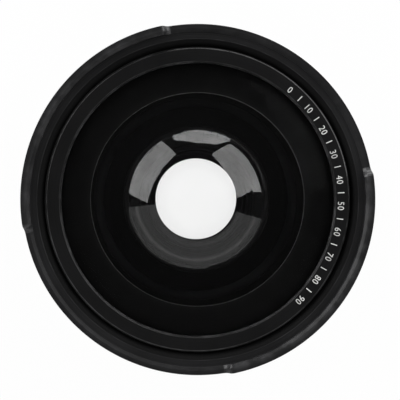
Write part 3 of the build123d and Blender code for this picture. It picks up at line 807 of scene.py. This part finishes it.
def build_hood():
    """Petal hood: outline rows above the shelf follow the rim's path, at their own depth
    below the rim's top, and the rows below it are plain turning. The outer rows lean out by
    PETAL_LEAN times rise / PETAL_RISE. The cove is matt black like the baffle, a painted
    shade in place of the shade that falls in it. The rim's bevel is paler where it rises,
    and the petals' ramps are paler all over: painted highlights, with a smooth coat there."""
    rim_inner, rim_foot, wall_inner, wall_foot = 44.0, 45.34, 46.0, 45.6
    bevel_inner, bevel_outer, bevel_foot = 44.2, 45.3, 45.3
    cove_outer, cove_foot = 42.45, 41.0
    points = np.concatenate([HOOD_LOW, arc_through(*HOOD_COVE, 12), HOOD_RIM])
    outline, edge = rounded_outline(points)
    angle, rise, normal_round, normal_up = petal_path(380)
    radius, height = outline[:, :1], outline[:, 1:]
    wall = radius > wall_inner
    on_rim = (radius > rim_inner) & (height > np.where(wall, wall_foot, rim_foot))
    bevel = (radius > bevel_inner) & (radius < bevel_outer) & (height > bevel_foot)
    # The cove's rows get the second material, the baffle's flat black: painted shade.
    cove = (radius < cove_outer) & (height > cove_foot)
    depth = HOOD_TOP - height
    rim_height = HOOD_TOP + rise + depth * normal_up
    rim_angle = angle + depth * normal_round / RIM_MIDDLE
    share = rise / PETAL_RISE
    lean = PETAL_LEAN * share * wall
    # Edge: real wear on rounded corners; on the bevel, more where the petals rise, and on the
    # ramps, a painted highlight.
    edge = np.where(bevel, 0.1 + 0.32 * share, 0.45 * edge[:, None])
    edge = np.where(on_rim & (share > 0.02) & (share < 0.98), 1.0, edge)
    obj = turned_grid(
        "petal_hood_body", np.where(on_rim, radius + lean, radius),
        np.where(on_rim, rim_height, height), np.where(on_rim, rim_angle, angle), edge,
        row_material=cove[:, 0].astype(int),
    )
    drilled(obj, HOOD_SCREWS, 42.6, 48.0)
    seat(obj, "petal_hood", finishes()["hood"], finishes()["baffle"])


def build_screws(name, node, height, foot):
    """Three hex socket grub screws: a turned thread with a cup foot, and a hex socket whose
    radius is flat-to-centre distance over cos(angle from the nearest flat)."""
    angle = full_turn(48)
    sector = TURN / 6
    flat = 0.5 * math.cos(sector / 2) / np.cos((angle % sector) - sector / 2)
    rows = np.linspace(0.25, SCREW_LENGTH - 0.12, 28)
    outer = thread(rows[:, None] * 2, angle, 1.0) * 0.5 + 0.5
    ring = np.ones_like(angle)
    radius = np.concatenate([
        0 * ring, 0.45 * ring, 0.7 * ring, outer, 0.88 * ring, 0.62 * ring, flat, flat, 0 * ring,
    ])
    along = np.concatenate([
        [0.3, 0.1, 0.0], rows, SCREW_LENGTH - np.array([0.0, 0.0, 0.08, 1.1, 1.25]),
    ])
    edge = np.zeros(len(along))
    edge[-5:-3] = 1
    model = turned_grid(name, radius, along[:, None], angle, edge, closed=False)
    base, faces = points_and_faces(model.data)
    worn = np.zeros(len(base), np.float32)
    model.data.attributes["edge"].data.foreach_get("value", worn)
    bpy.data.objects.remove(model)
    parts = []
    for a in np.radians(SCREW_ANGLES):
        away, side = np.array([(math.cos(a), math.sin(a), 0), (-math.sin(a), math.cos(a), 0)])
        points = (foot * MM + base[:, 2:]) * away + base[:, :1] * side
        points[:, 2] += base[:, 1] + height * MM
        parts.append((points, faces))
    obj = joined(name, parts)
    store(obj, "edge", np.tile(worn, len(parts)))
    seat(obj, node, finishes()["steel"])


def text_mesh(text, size):
    """Flat closed mesh of a line of plain figures, centred on x, its foot at y = 0."""
    curve = bpy.data.curves.new("figures", "FONT")
    curve.body, curve.size, curve.align_x = text, size, "CENTER"
    curve.extrude, curve.space_character, curve.resolution_u = 1.0, 1.12, 4
    holder = placed("figures", curve)
    mesh = evaluated_mesh(holder)
    bpy.data.objects.remove(holder)
    bpy.data.curves.remove(curve)
    points, faces = points_and_faces(mesh)
    bpy.data.meshes.remove(mesh)
    return points, faces


def build_name_ring():
    """Front ring with a plain angle scale: x of a flat figure becomes angle, y radius. Its
    figures are numbers, and ticks halfway between them."""
    detail = bpy.context.scene.lens_detail
    # Its polished bevels are paler as well: a painted highlight.
    ring = turned("name_ring_body", NAME_RING, 320, polished=RING_BEVELS)
    seat(ring, "name_ring", finishes()["ring"])
    foot, sunk, stroke, capital, narrow = 37.12, 0.04, 0.24, 0.72, 0.9
    first, pitch, marks, units = 50.0, 5.25, 19, 5
    tall = detail.figure_height / MM
    tick = np.array([(-1, 0, -1), (1, 0, -1), (1, 1, -1), (-1, 1, -1),
                     (-1, 0, 1), (1, 0, 1), (1, 1, 1), (-1, 1, 1)]) * (stroke / 2, tall, 1)
    tick_faces = [(3, 2, 1, 0), (4, 5, 6, 7), (0, 1, 5, 4), (1, 2, 6, 5), (2, 3, 7, 6),
                  (3, 0, 4, 7)]
    parts = []
    for step in range(marks):
        if step % 2:
            flat, faces = tick, tick_faces
        else:
            flat, faces = text_mesh(str(step * units), tall / capital)
            flat = flat * (narrow, 1, 1)
        radius = foot + flat[:, 1]
        angle = math.radians(first - pitch * step) - flat[:, 0] / (foot + tall / 2)
        height = RING_TOP + np.where(flat[:, 2] > 0, detail.figure_stand / MM, -sunk)
        points = np.stack([radius * np.cos(angle), radius * np.sin(angle), height], 1)
        parts.append((points * MM, faces))
    obj = joined("name_ring_figures", parts, smooth=False)
    work = bmesh.new()
    work.from_mesh(obj.data)
    bmesh.ops.remove_doubles(work, verts=work.verts, dist=1e-7)
    bmesh.ops.recalc_face_normals(work, faces=work.faces)
    work.to_mesh(obj.data)
    work.free()
    obj.data.materials.append(finishes()["figure"])
    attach(obj, BODY_OF["name_ring"])


def build_barrel():
    """Main barrel: straight neck, flared shoulder, drum with its groove, and inner steps."""
    points = np.concatenate([BARREL_REAR, bezier(BARREL_FLARE, 28), BARREL_FRONT])
    obj = turned("main_barrel_body", points, 300)
    drilled(obj, CELL_SCREWS, 30.5, 46.0)
    seat(obj, "main_barrel", finishes()["barrel"])


def build_grip():
    """Rubber band with 60 round-shouldered ribs: radius plus rib height times a bump of
    the angle, cos(pi/2 (|a| - flat) / shoulder) beyond its flat top, faded at the ends."""
    ribs, skin, lining, bevel, low, high = 60, 45.3, 43.06, 0.12, 30.5, 37.3
    flat, shoulder = np.radians([1.2, 0.52])
    local = np.radians([-2.1, -1.72, -1.6, -1.45, -1.2, -0.4, 0.4, 1.2, 1.45, 1.6, 1.72, 2.1])
    angle = repeated(local, ribs)
    beyond = np.clip((np.abs(local) - flat) / shoulder, 0, 1)
    bump = np.tile(np.cos(math.pi / 2 * beyond), ribs)
    rib_rows, fade = run_out(low + 0.6, high - 0.6, np.array([0, 0.06, 0.17, 0.32, 0.5]))
    rows = np.concatenate([[low, low + bevel], rib_rows, [high - bevel, high]])
    lift = np.pad(fade, 2)
    drop = np.zeros(len(rows))
    drop[[0, -1]] = bevel
    rib_height = bpy.context.scene.lens_detail.rib_height / MM
    outer = skin - drop[:, None] + rib_height * lift[:, None] * bump
    radius = np.concatenate([outer, np.full((2, outer.shape[1]), lining)])
    height = np.concatenate([rows, [high, low]])
    obj = turned_grid("grip_band_rubber", radius, height[:, None], angle)
    seat(obj, "grip_band", finishes()["rubber"])


def build_macro_barrel():
    """Macro section: male threads behind and in front, and a ring with 60 round flutes.

    A flute takes r - (c cos a - root(t^2 - (c sin a)^2)) off the ring's radius r, c being the
    cutter's distance from the axis and t its radius, times the share of run_out.
    """
    flutes, ring, cutter, top, wear = 60, 32.0, 0.75, 18.0, 0.12
    rear_thread, front_thread, lead_in = 29.0, 28.5, 0.4
    centre = ring + cutter - bpy.context.scene.lens_detail.flute_depth / MM
    local = np.radians([-1.15, -0.85, -0.4, 0.4, 0.85, 1.15])
    angle = repeated(local, flutes)
    room = np.clip(cutter**2 - (centre * np.sin(local)) ** 2, 0, None)
    depth = np.clip(ring - (centre * np.cos(local) - np.sqrt(room)), 0, None)
    depth = np.tile(np.where(room > 0, depth, 0), flutes)

    def turning(points):
        """Radii and heights of plain turned rows."""
        line = np.asarray(points, float)
        return np.repeat(line[:, :1], angle.size, 1), line[:, 1]

    rear_rows = np.linspace(0.0, 3.98, 52)
    front_rows = np.linspace(14.12, 17.98, 50)
    rear_end, front_end = rear_thread - lead_in, front_thread - lead_in
    rear = np.minimum(thread(rear_rows[:, None], angle, rear_thread), rear_end + rear_rows[:, None])
    front = np.minimum(thread(front_rows[:, None], angle, front_thread),
                       front_end + top - front_rows[:, None])
    flute_rows, share = run_out(6.4, 12.4, np.array([0, 0.05, 0.15, 0.3, 0.5]))
    pieces = [
        turning([(26.2, 0.12), (26.32, 0.0)]),
        (rear, rear_rows),
        turning([(28.42, 4.0), (28.4, 4.03), (28.4, 5.07), (28.43, 5.1), (29.02, 5.1),
                 (29.05, 5.07), (29.05, 4.86), (29.11, 4.8), (31.56, 4.8), (31.64, 4.84),
                 (31.96, 5.16), (ring, 5.24)]),
        (ring - share[:, None] * depth, flute_rows),
        turning([(ring, 13.56), (31.96, 13.64), (31.64, 13.96), (31.56, 14.0), (28.2, 14.0),
                 (28.05, 14.08)]),
        (front, front_rows),
        turning([(28.06, top), (25.7, top), (25.6, top - 0.1), (25.6, 14.41), (24.06, 13.45),
                 (24.0, 13.38), (24.0, CROWN_SEAL_TOP), (25.1, CROWN_SEAL_TOP), (25.1, 6.21),
                 (26.2, 6.21)]),
    ]
    radius = np.concatenate([r for r, _ in pieces])
    height = np.concatenate([z for _, z in pieces])
    worn = [(4.8, 31.6), (5.2, ring), (13.6, ring), (14.0, 31.6), (0.0, rear_end), (top, front_end)]
    far = np.stack([np.hypot(height - z, radius.mean(1) - r) for z, r in worn]).min(0)
    edge = np.clip(1 - far / wear, 0, 1)
    obj = turned_grid("macro_barrel_body", radius, height[:, None], angle, edge)
    seat(obj, "macro_barrel", finishes()["barrel"])


def lens(name, node, front, edge_points, rear, materials, counts):
    """A lens turned from its front face, its ground edge and its rear face.

    Each face runs as (radius of curvature, height at the axis, rim radius), and counts are
    the points on each. The materials are the front's, the edge's, the rear's and, where
    there are four, that of a strip at the rear face's rim. A point attribute rises to 1
    over the last part of the edge, as (1 - d/2.6)^2 at d from the rear face's rim; the edge
    paint is paler by it, a painted glow of light near the hollow.
    """
    fade = 2.6
    front_count, rear_count = counts
    outline = np.concatenate([
        ball(*front, front_count), edge_points, ball(*rear, rear_count)[::-1],
    ])
    rows = len(outline)
    kind = np.ones(rows, int)
    kind[: front_count - 1] = 0
    kind[rows - rear_count :] = 2
    if len(materials) > 3:
        kind[rows - rear_count] = 3
    obj = turned_grid(name, outline[:, :1], outline[:, 1:],
                      full_turn(bpy.context.scene.lens_detail.columns), closed=False,
                      row_material=kind)
    points, _ = points_and_faces(obj.data)
    out = np.hypot(points[:, 0], points[:, 1]) / MM
    # How far the edge paint is paled near the hollow: a painted glow of light.
    store(obj, "painted_glow", np.clip(1 - (out - rear[2]) / fade, 0, 1) ** 2)
    seat(obj, node, *materials)


def build_glasses():
    """The four lenses. The cemented faces of the macro doublet don't bend or mirror light."""
    value = bpy.context.scene.lens_finish
    paint = edge_paint()
    front = glass("front_coating", value.front_index, (0.004, 0.004, 0.005), haze=0.0022)
    hollow = glass("hollow_coating", value.front_index, (1.0, 1.0, 1.0))
    second = glass("second_coating", value.second_index, (0.02, 0.017, 0.024))
    macro = glass("macro_coating", value.macro_index, (0.02, 0.017, 0.024))
    cement = glass("cement", 1.0, (0, 0, 0))
    opening = 27.5
    flat_ring = [(out, SEAL_TOP) for out in np.linspace(38.0, opening, 12)[:-1]]
    # The front glass's fourth material, the pale ground strip at the hollow's rim, is a painted
    # highlight there.
    lens("front_element_glass", "front_element", (88.0, 50.3926, 37.5),
         [(38.0, 41.5), *flat_ring], (36.9, 47.546, opening),
         (front, paint, hollow, ground_strip_highlight()), (72, 190))
    lens("second_element_glass", "second_element", (-110.0, 26.0, 17.5),
         [(19.0, STOP_LOW), (19.0, 19.11)], (32.0, 24.0, 17.0), (second, paint, second), (40, 48))
    lens("macro_crown_glass", "macro_crown_element", (75.0, 16.504, 24.0),
         [(MACRO_BORE, CROWN_SEAL_LOW)], (-75.0, 6.9, MACRO_BORE), (macro, paint, cement), (48, 48))
    lens("macro_flint_glass", "macro_flint_element", (-75.0, 6.85, MACRO_BORE),
         [(MACRO_BORE, 6.01)], (-250.0, 4.85, 24.0), (cement, paint, macro), (48, 32))


# Studio


def direction(polar, around):
    """Unit vector at this angle from the axis and this angle round it, in degrees."""
    polar, around = np.radians(polar), np.radians(around)
    return np.stack([np.sin(polar) * np.cos(around), np.sin(polar) * np.sin(around),
                     np.cos(polar)], -1)


def bare_tree(owner):
    """Emptied node tree of this material or world."""
    owner.use_nodes = True
    owner.node_tree.nodes.clear()
    return owner.node_tree


LIGHT_PANELS = {
    # radiance, then corners as (angle from the axis, angle round it) seen from the lens
    "panel_left": (3.9, [(57.0, 114.9), (57.2, 184.2), (94.0, 173.0), (94.0, 122.0)]),
    "panel_top": (4.8, [(69.0, 70.3), (66.5, 90.3), (77.1, 110.3), (94.0, 111.0), (94.0, 60.4),
                        (84.4, 60.2)]),
    "panel_right": (3.7, [(45.1, 1.8), (53.8, 72.0), (81.6, 58.6), (81.6, 6.5), (67.5, 7.0),
                          (66.2, 10.6), (64.9, 8.3)]),
}


def build_panel(name, strength, corners):
    """Curved light panel: its border runs between the corner directions, and rings of points
    centre + t (border - centre), t from 0 to 1, fill it at the panel distance. Its light
    goes up and down by a fifth from place to place, as behind uneven cloth."""
    glass_height, uneven = 0.047, 0.2
    ways = direction(*np.array(corners, float).T)
    across = np.linspace(0, 1, 12, endpoint=False)[None, :, None]
    border = ((1 - across) * ways[:, None] + across * np.roll(ways, -1, 0)[:, None]).reshape(-1, 3)
    middle = ways.mean(0)
    t = np.linspace(0.02, 1, 9)[:, None, None]
    way = middle + t * (border - middle)
    way /= np.linalg.norm(way, axis=-1, keepdims=True)
    rings, columns = way.shape[:2]
    points = way * bpy.context.scene.lens_studio.panel_distance + np.array([0, 0, glass_height])
    index = np.arange(rings * columns).reshape(rings, columns)
    upper, lower = index[:-1], index[1:]
    quads = np.stack([upper, np.roll(upper, -1, 1), np.roll(lower, -1, 1), lower], -1)
    faces = quads.reshape(-1, 4).tolist() + [index[0].tolist()]
    obj = new_object(name, points.reshape(-1, 3), faces)
    material = bpy.data.materials.new(name)
    tree = bare_tree(material)
    cloth = noise(tree, object_place(tree), 1.6, 3.0)
    level = spread(tree, cloth, strength * (1 - uneven), strength * (1 + uneven))
    light = add_node(tree, "ShaderNodeEmission", [("Strength", level)])
    add_node(tree, "ShaderNodeOutputMaterial", [("Surface", light.outputs[0])])
    obj.data.materials.append(material)
    obj.visible_camera = False
    obj.visible_shadow = False


def smooth_step(tree, value, low, high):
    """0 at low and 1 at high, smoothed between."""
    return spread(tree, value, 0.0, 1.0, low, high, interpolation_type="SMOOTHSTEP")


def build_world():
    """Dark room with a pale wall on the lower side, white where the camera looks past.

    In the direction (x, y, z) from the lens the wall lies below y = -max(-0.114 x, 0.3 x)
    and fades out about z = 0.69. It is brighter in a narrow band at z = 0.28 and above z = 0.6,
    and a little below z = 0.26.
    The dark room fades in from z = 0.08, and the pale room behind the camera from z = 0.78.
    """
    studio = bpy.context.scene.lens_studio
    world = bpy.data.worlds.new("studio")
    bpy.context.scene.world = world
    tree = bare_tree(world)
    way = add_node(tree, "ShaderNodeTexCoord").outputs["Generated"]
    x, y, z = add_node(tree, "ShaderNodeSeparateXYZ", [(0, way)]).outputs
    border = maths(tree, "MAXIMUM", times(tree, x, -0.114), times(tree, x, 0.3))
    inside = maths(tree, "SUBTRACT", times(tree, y, -1.0), border)
    wall = times(tree, smooth_step(tree, inside, 0.0, 0.015), smooth_step(tree, z, 0.72, 0.66))
    from_brink = maths(tree, "ABSOLUTE", maths(tree, "SUBTRACT", z, 0.28))
    brink = maths(tree, "SUBTRACT", 1.0, times(tree, from_brink, 16.0), clamp=True)
    low = smooth_step(tree, z, 0.3, 0.22)
    high = smooth_step(tree, z, 0.5, 0.7)
    tone = plus(tree, times(tree, low, 0.04), times(tree, brink, 0.8),
                times(tree, high, 0.25), 0.76)
    level = plus(
        tree, times(tree, wall, times(tree, tone, studio.card_light)),
        times(tree, smooth_step(tree, z, 0.08, 0.3), studio.room_light),
        times(tree, smooth_step(tree, z, 0.78, 0.86), studio.front_light),
    )
    seen = add_node(tree, "ShaderNodeLightPath").outputs["Is Camera Ray"]
    strength = add_node(tree, "ShaderNodeMix", [(0, seen), (2, level), (3, 1.0)]).outputs[0]
    back = add_node(tree, "ShaderNodeBackground", [("Strength", strength)])
    add_node(tree, "ShaderNodeOutputWorld", [("Surface", back.outputs[0])])


def build_floor():
    """White floor: mostly an even white glow for camera, mirror and glass rays, with enough
    lit paint in it to keep the shadow. Its far edge dips, so that it isn't a plain plane."""
    rim, thickness, level_share, drop, glow_share = 3000.0, 60.0, 0.6, 40.0, 0.97
    size = np.concatenate([[0.0], np.geomspace(0.02, rim * MM, 40)])[:, None] / MM
    dip = -np.clip(size / rim - level_share, 0, None) ** 2 * drop
    radius = np.concatenate([size, [[rim]], [[0.0]]])
    height = np.concatenate([dip, [[-thickness]], [[-thickness]]])
    obj = turned_grid("floor", radius, height, full_turn(96), closed=False)
    material = bpy.data.materials.new("floor_paper")
    tree = bare_tree(material)
    tooth = noise(tree, object_place(tree), 900.0, 3.0)
    paper = add_node(tree, "ShaderNodeBsdfDiffuse", [
        ("Color", (0.86, 0.86, 0.86, 1)), ("Normal", relief(tree, tooth, 2e-5))])
    glow = add_node(tree, "ShaderNodeEmission", [("Strength", 1.0)])
    ray = add_node(tree, "ShaderNodeLightPath").outputs
    seen = maths(tree, "MAXIMUM", ray["Is Glossy Ray"], ray["Is Transmission Ray"],
                 ray["Is Camera Ray"])
    mixed = add_node(tree, "ShaderNodeMixShader", [
        (0, times(tree, seen, glow_share)), (1, paper.outputs[0]), (2, glow.outputs[0])])
    add_node(tree, "ShaderNodeOutputMaterial", [("Surface", mixed.outputs[0])])
    obj.data.materials.append(material)


def build_camera():
    """Camera a little off the axis, as in the photograph, its long side level with X."""
    studio = bpy.context.scene.lens_studio
    rim = HOOD_TOP * MM
    data = bpy.data.cameras.new("camera")
    camera = placed("camera", data)
    place = Vector((-0.0102, 0.0041, rim + studio.distance))
    aim = Vector((0.0005, -0.00008, rim))
    ahead = (aim - place).normalized()
    right = ahead.cross(Vector((0, 1, 0))).normalized()
    turn = Matrix((right, right.cross(ahead), -ahead)).transposed().to_4x4()
    camera.matrix_world = Matrix.Translation(place) @ turn
    data.lens, data.sensor_width = studio.focal, 36.0
    data.clip_start, data.clip_end = 0.01, 20.0
    bpy.context.scene.camera = camera


# Operators, panel and registration


class LENS_OT_hood(bpy.types.Operator):
    """Build the petal hood and its grub screws"""

    bl_idname = "lens.hood"
    bl_label = "Petal hood"

    def execute(self, context):
        build_hood()
        build_screws("hood_set_screws_steel", "hood_set_screws", HOOD_SCREWS, 43.25)
        return {"FINISHED"}


class LENS_OT_name_ring(bpy.types.Operator):
    """Build the ring round the front glass and its plain scale"""

    bl_idname = "lens.name_ring"
    bl_label = "Front ring"

    def execute(self, context):
        build_name_ring()
        return {"FINISHED"}


class LENS_OT_barrel(bpy.types.Operator):
    """Build the main barrel and the screws that lock the cell"""

    bl_idname = "lens.barrel"
    bl_label = "Main barrel"

    def execute(self, context):
        build_barrel()
        build_screws("cell_lock_screws_steel", "cell_lock_screws", CELL_SCREWS, 31.05)
        return {"FINISHED"}


class LENS_OT_grip(bpy.types.Operator):
    """Build the ribbed rubber band"""

    bl_idname = "lens.grip"
    bl_label = "Grip band"

    def execute(self, context):
        build_grip()
        return {"FINISHED"}


class LENS_OT_macro(bpy.types.Operator):
    """Build the macro section's barrel and retaining ring"""

    bl_idname = "lens.macro"
    bl_label = "Macro section"

    def execute(self, context):
        build_macro_barrel()
        ring = slotted("macro_retaining_ring_body", MACRO_RETAINER, 3.01, 1.2, 23.5)
        seat(ring, "macro_retaining_ring", finishes()["inside"])
        return {"FINISHED"}


class LENS_OT_rings(bpy.types.Operator):
    """Build the plain rings, seals, stop and cell inside the lens"""

    bl_idname = "lens.rings"
    bl_label = "Inner rings"

    def execute(self, context):
        for node, (finish, points) in PLAIN_RINGS.items():
            seat(turned(node + "_ring", points), node, finishes()[finish])
        ring = slotted("second_retainer_ring", SECOND_RETAINER, 29.3, -0.8, 17.95)
        seat(ring, "second_element_retainer", finishes()["inside"])
        return {"FINISHED"}


class LENS_OT_glasses(bpy.types.Operator):
    """Build the four lenses"""

    bl_idname = "lens.glasses"
    bl_label = "Glasses"

    def execute(self, context):
        build_glasses()
        return {"FINISHED"}


class LENS_OT_stage(bpy.types.Operator):
    """Build the floor, the lights, the room and the camera"""

    bl_idname = "lens.stage"
    bl_label = "Studio"

    def execute(self, context):
        build_floor()
        for name, (strength, corners) in LIGHT_PANELS.items():
            build_panel(name, strength * context.scene.lens_studio.panel_light, corners)
        build_world()
        build_camera()
        context.scene.view_settings.view_transform = "Standard"
        return {"FINISHED"}


BUILDERS = (
    LENS_OT_hood, LENS_OT_name_ring, LENS_OT_barrel, LENS_OT_grip, LENS_OT_macro,
    LENS_OT_rings, LENS_OT_glasses, LENS_OT_stage,
)


class LENS_PT_panel(bpy.types.Panel):
    """Sizes, finishes and build buttons of the lens"""

    bl_idname = "LENS_PT_panel"
    bl_label = "Fisheye converter lens"
    bl_space_type = "VIEW_3D"
    bl_region_type = "UI"
    bl_category = "Lens"

    def draw(self, context):
        for values in (context.scene.lens_detail, context.scene.lens_finish,
                       context.scene.lens_studio):
            box = self.layout.box()
            for key in values.__annotations__:
                box.prop(values, key)
        for builder in BUILDERS:
            self.layout.operator(builder.bl_idname)


CLASSES = (LensDetail, LensFinish, LensStudio, *BUILDERS, LENS_PT_panel)


def register():
    """Adds the classes and the values that the scene keeps for them."""
    for item in CLASSES:
        bpy.utils.register_class(item)
    bpy.types.Scene.lens_detail = PointerProperty(type=LensDetail)
    bpy.types.Scene.lens_finish = PointerProperty(type=LensFinish)
    bpy.types.Scene.lens_studio = PointerProperty(type=LensStudio)


def unregister():
    """Takes the values and the classes out again."""
    del bpy.types.Scene.lens_studio
    del bpy.types.Scene.lens_finish
    del bpy.types.Scene.lens_detail
    for item in reversed(CLASSES):
        bpy.utils.unregister_class(item)


def main():
    register()
    bpy.ops.lens.hood()
    bpy.ops.lens.name_ring()
    bpy.ops.lens.barrel()
    bpy.ops.lens.grip()
    bpy.ops.lens.macro()
    bpy.ops.lens.rings()
    bpy.ops.lens.glasses()
    bpy.ops.lens.stage()


if __name__ == "__main__":
    main()
